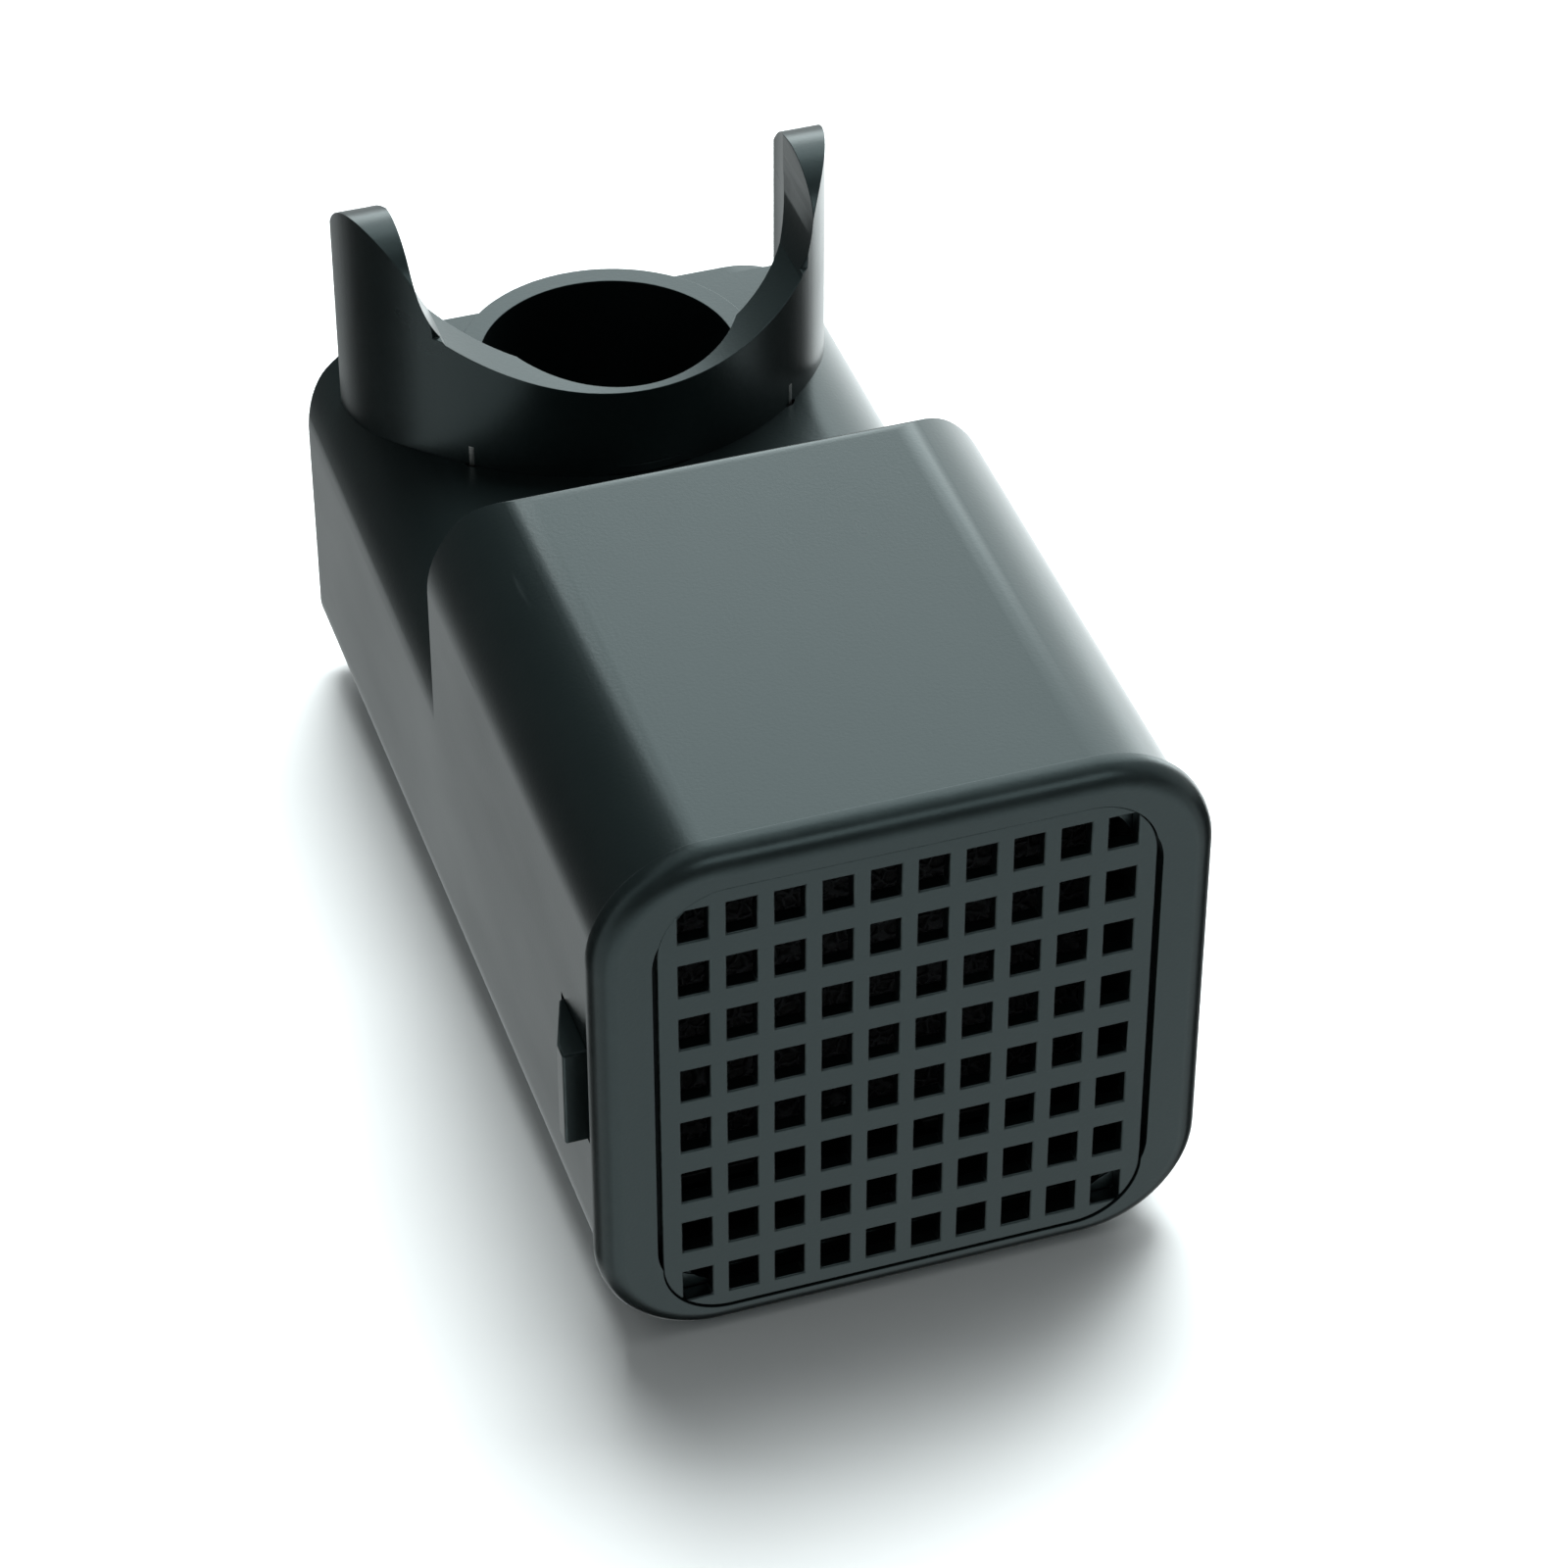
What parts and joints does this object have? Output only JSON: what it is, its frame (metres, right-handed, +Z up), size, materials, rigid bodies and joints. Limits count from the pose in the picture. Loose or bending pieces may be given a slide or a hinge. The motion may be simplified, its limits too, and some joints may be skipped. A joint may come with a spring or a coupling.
{
  "type": "pump water filter",
  "caption": "Box-shaped intake filter for a small submersible pump, with a grilled front cap, side latches and a round eared seat over the outlet port.",
  "frame": {"origin": "on the ground under the middle of the filter's box", "axes": "+Z up, -Y towards the intake grille, +X to the right of a viewer facing the grille"},
  "size_m": [0.0648, 0.116, 0.0674],
  "materials": {
    "body_plastic": "satin moulded plastic, dark grey",
    "inner_plastic": "plain moulded plastic, near black",
    "seal_rubber": "soft matt rubber",
    "coarse_foam": "open-cell foam, coarse",
    "fine_foam": "open-cell foam, fine",
    "screw_steel": "stainless"
  },
  "bodies": {
    "housing_body": {"housing": "body_plastic", "pump_cradle": "body_plastic", "cradle_screws": "screw_steel", "port_oring": "seal_rubber", "outlet_strainer": "inner_plastic"},
    "cap_body": {"front_frame": "body_plastic", "intake_grille": "body_plastic", "cap_gasket": "seal_rubber", "filter_tray": "inner_plastic", "coarse_foam": "coarse_foam", "divider_screen": "inner_plastic", "fine_foam": "fine_foam", "rear_screen": "inner_plastic"},
    "left_latch_body": {"latch_left": "body_plastic"},
    "right_latch_body": {"latch_right": "body_plastic"}
  },
  "joints": [
    {"name": "cap_pull", "type": "slide", "parent": "housing_body", "child": "cap_body", "axis": [0, -1, 0], "range_m": [0, 0.075]},
    {"name": "left_latch_press", "type": "slide", "parent": "cap_body", "child": "left_latch_body", "axis": [1, 0, 0], "range_m": [0, 0.0026], "stiffness_N_per_m": 400},
    {"name": "right_latch_press", "type": "slide", "parent": "cap_body", "child": "right_latch_body", "axis": [-1, 0, 0], "range_m": [0, 0.0026], "stiffness_N_per_m": 400}
  ]
}
